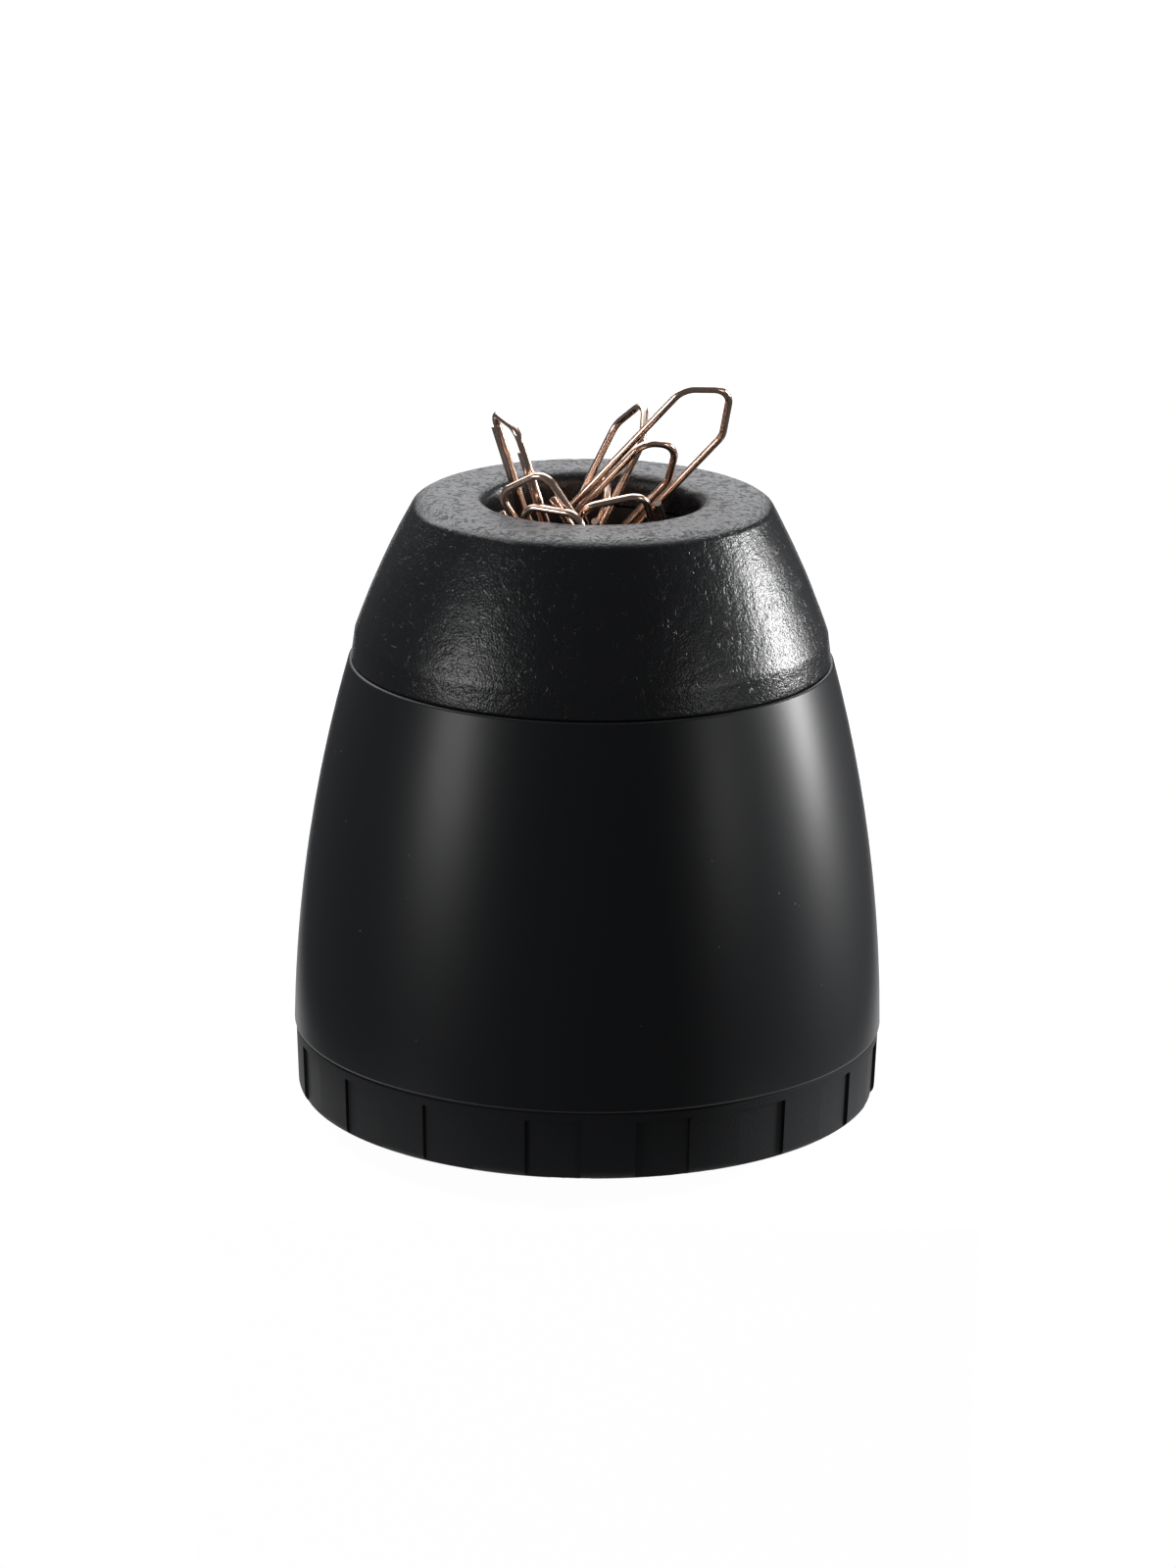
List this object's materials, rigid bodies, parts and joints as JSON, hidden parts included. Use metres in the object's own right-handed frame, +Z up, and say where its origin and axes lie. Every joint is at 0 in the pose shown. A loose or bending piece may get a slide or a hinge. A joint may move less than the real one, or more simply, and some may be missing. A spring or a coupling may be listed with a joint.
{
  "type": "magnetic paper clip holder",
  "caption": "Round desk holder with a bell-shaped body, screw-off base and lift-off magnetic collar whose throat holds wire paper clips.",
  "frame": {"origin": "middle of the foot ring's underside, where the holder meets the desk", "axes": "+Z up along the holder's axis, -Y towards the viewer in the picture, +X to the viewer's right"},
  "size_m": [0.0702, 0.0702, 0.0862],
  "materials": {
    "body_black": "satin moulded",
    "collar_black": "wrinkled coating",
    "base_black": "matte moulded",
    "sleeve_black": "matte moulded",
    "ferrite": "sintered ferrite",
    "steel": "plain",
    "rubber": "matte",
    "copper": "copper-plated wire"
  },
  "bodies": {
    "shell": {"body_shell": "body_black"},
    "weight": {"ballast_disc": "steel"},
    "base": {"base_cap": "base_black", "foot_ring": "rubber"},
    "top": {"collar": "collar_black", "ring_magnet": "ferrite", "magnet_retainer": "sleeve_black"},
    "clip_left": {"clip_left": "copper"},
    "clip_tall": {"clip_tall": "copper"},
    "clip_front_right": {"clip_front_right": "copper"},
    "clip_back": {"clip_back": "copper"},
    "clip_front_left": {"clip_front_left": "copper"},
    "clip_front_low": {"clip_front_low": "copper"}
  },
  "joints": [
    {"name": "collar_lift", "type": "slide", "parent": "shell", "child": "top", "axis": [0, 0, 1], "range_m": [0, 0.05]},
    {"name": "base_drop", "type": "slide", "parent": "shell", "child": "weight", "axis": [0, 0, -1], "range_m": [0, 0.00255]},
    {"name": "base_turn", "type": "hinge", "parent": "weight", "child": "base", "pos_m": [0, 0, 0.004], "axis": [0, 0, -1], "range_deg": [0, 65]},
    {"name": "pull_left", "type": "slide", "parent": "top", "child": "clip_left", "axis": [-0.2831, -0.1769, 0.9426], "range_m": [0, 0.02]},
    {"name": "pull_tall", "type": "slide", "parent": "top", "child": "clip_tall", "axis": [0.6268, -0.2343, 0.7431], "range_m": [0, 0.0048]},
    {"name": "pull_front_right", "type": "slide", "parent": "top", "child": "clip_front_right", "axis": [-0.1856, -0.6694, 0.7193], "range_m": [0, 0.005]},
    {"name": "pull_back", "type": "slide", "parent": "top", "child": "clip_back", "axis": [0.4364, 0.1251, 0.891], "range_m": [0, 0.007]},
    {"name": "pull_front_left", "type": "slide", "parent": "top", "child": "clip_front_left", "axis": [-0.5519, 0, 0.8339], "range_m": [0, 0.02]},
    {"name": "pull_front_low", "type": "slide", "parent": "top", "child": "clip_front_low", "axis": [-0.1143, -0.2508, 0.9613], "range_m": [0, 0.007]}
  ],
  "couplings": [
    {"joint": "base_drop", "follows": "base_turn", "m_per_rad": 0.0022282}
  ]
}
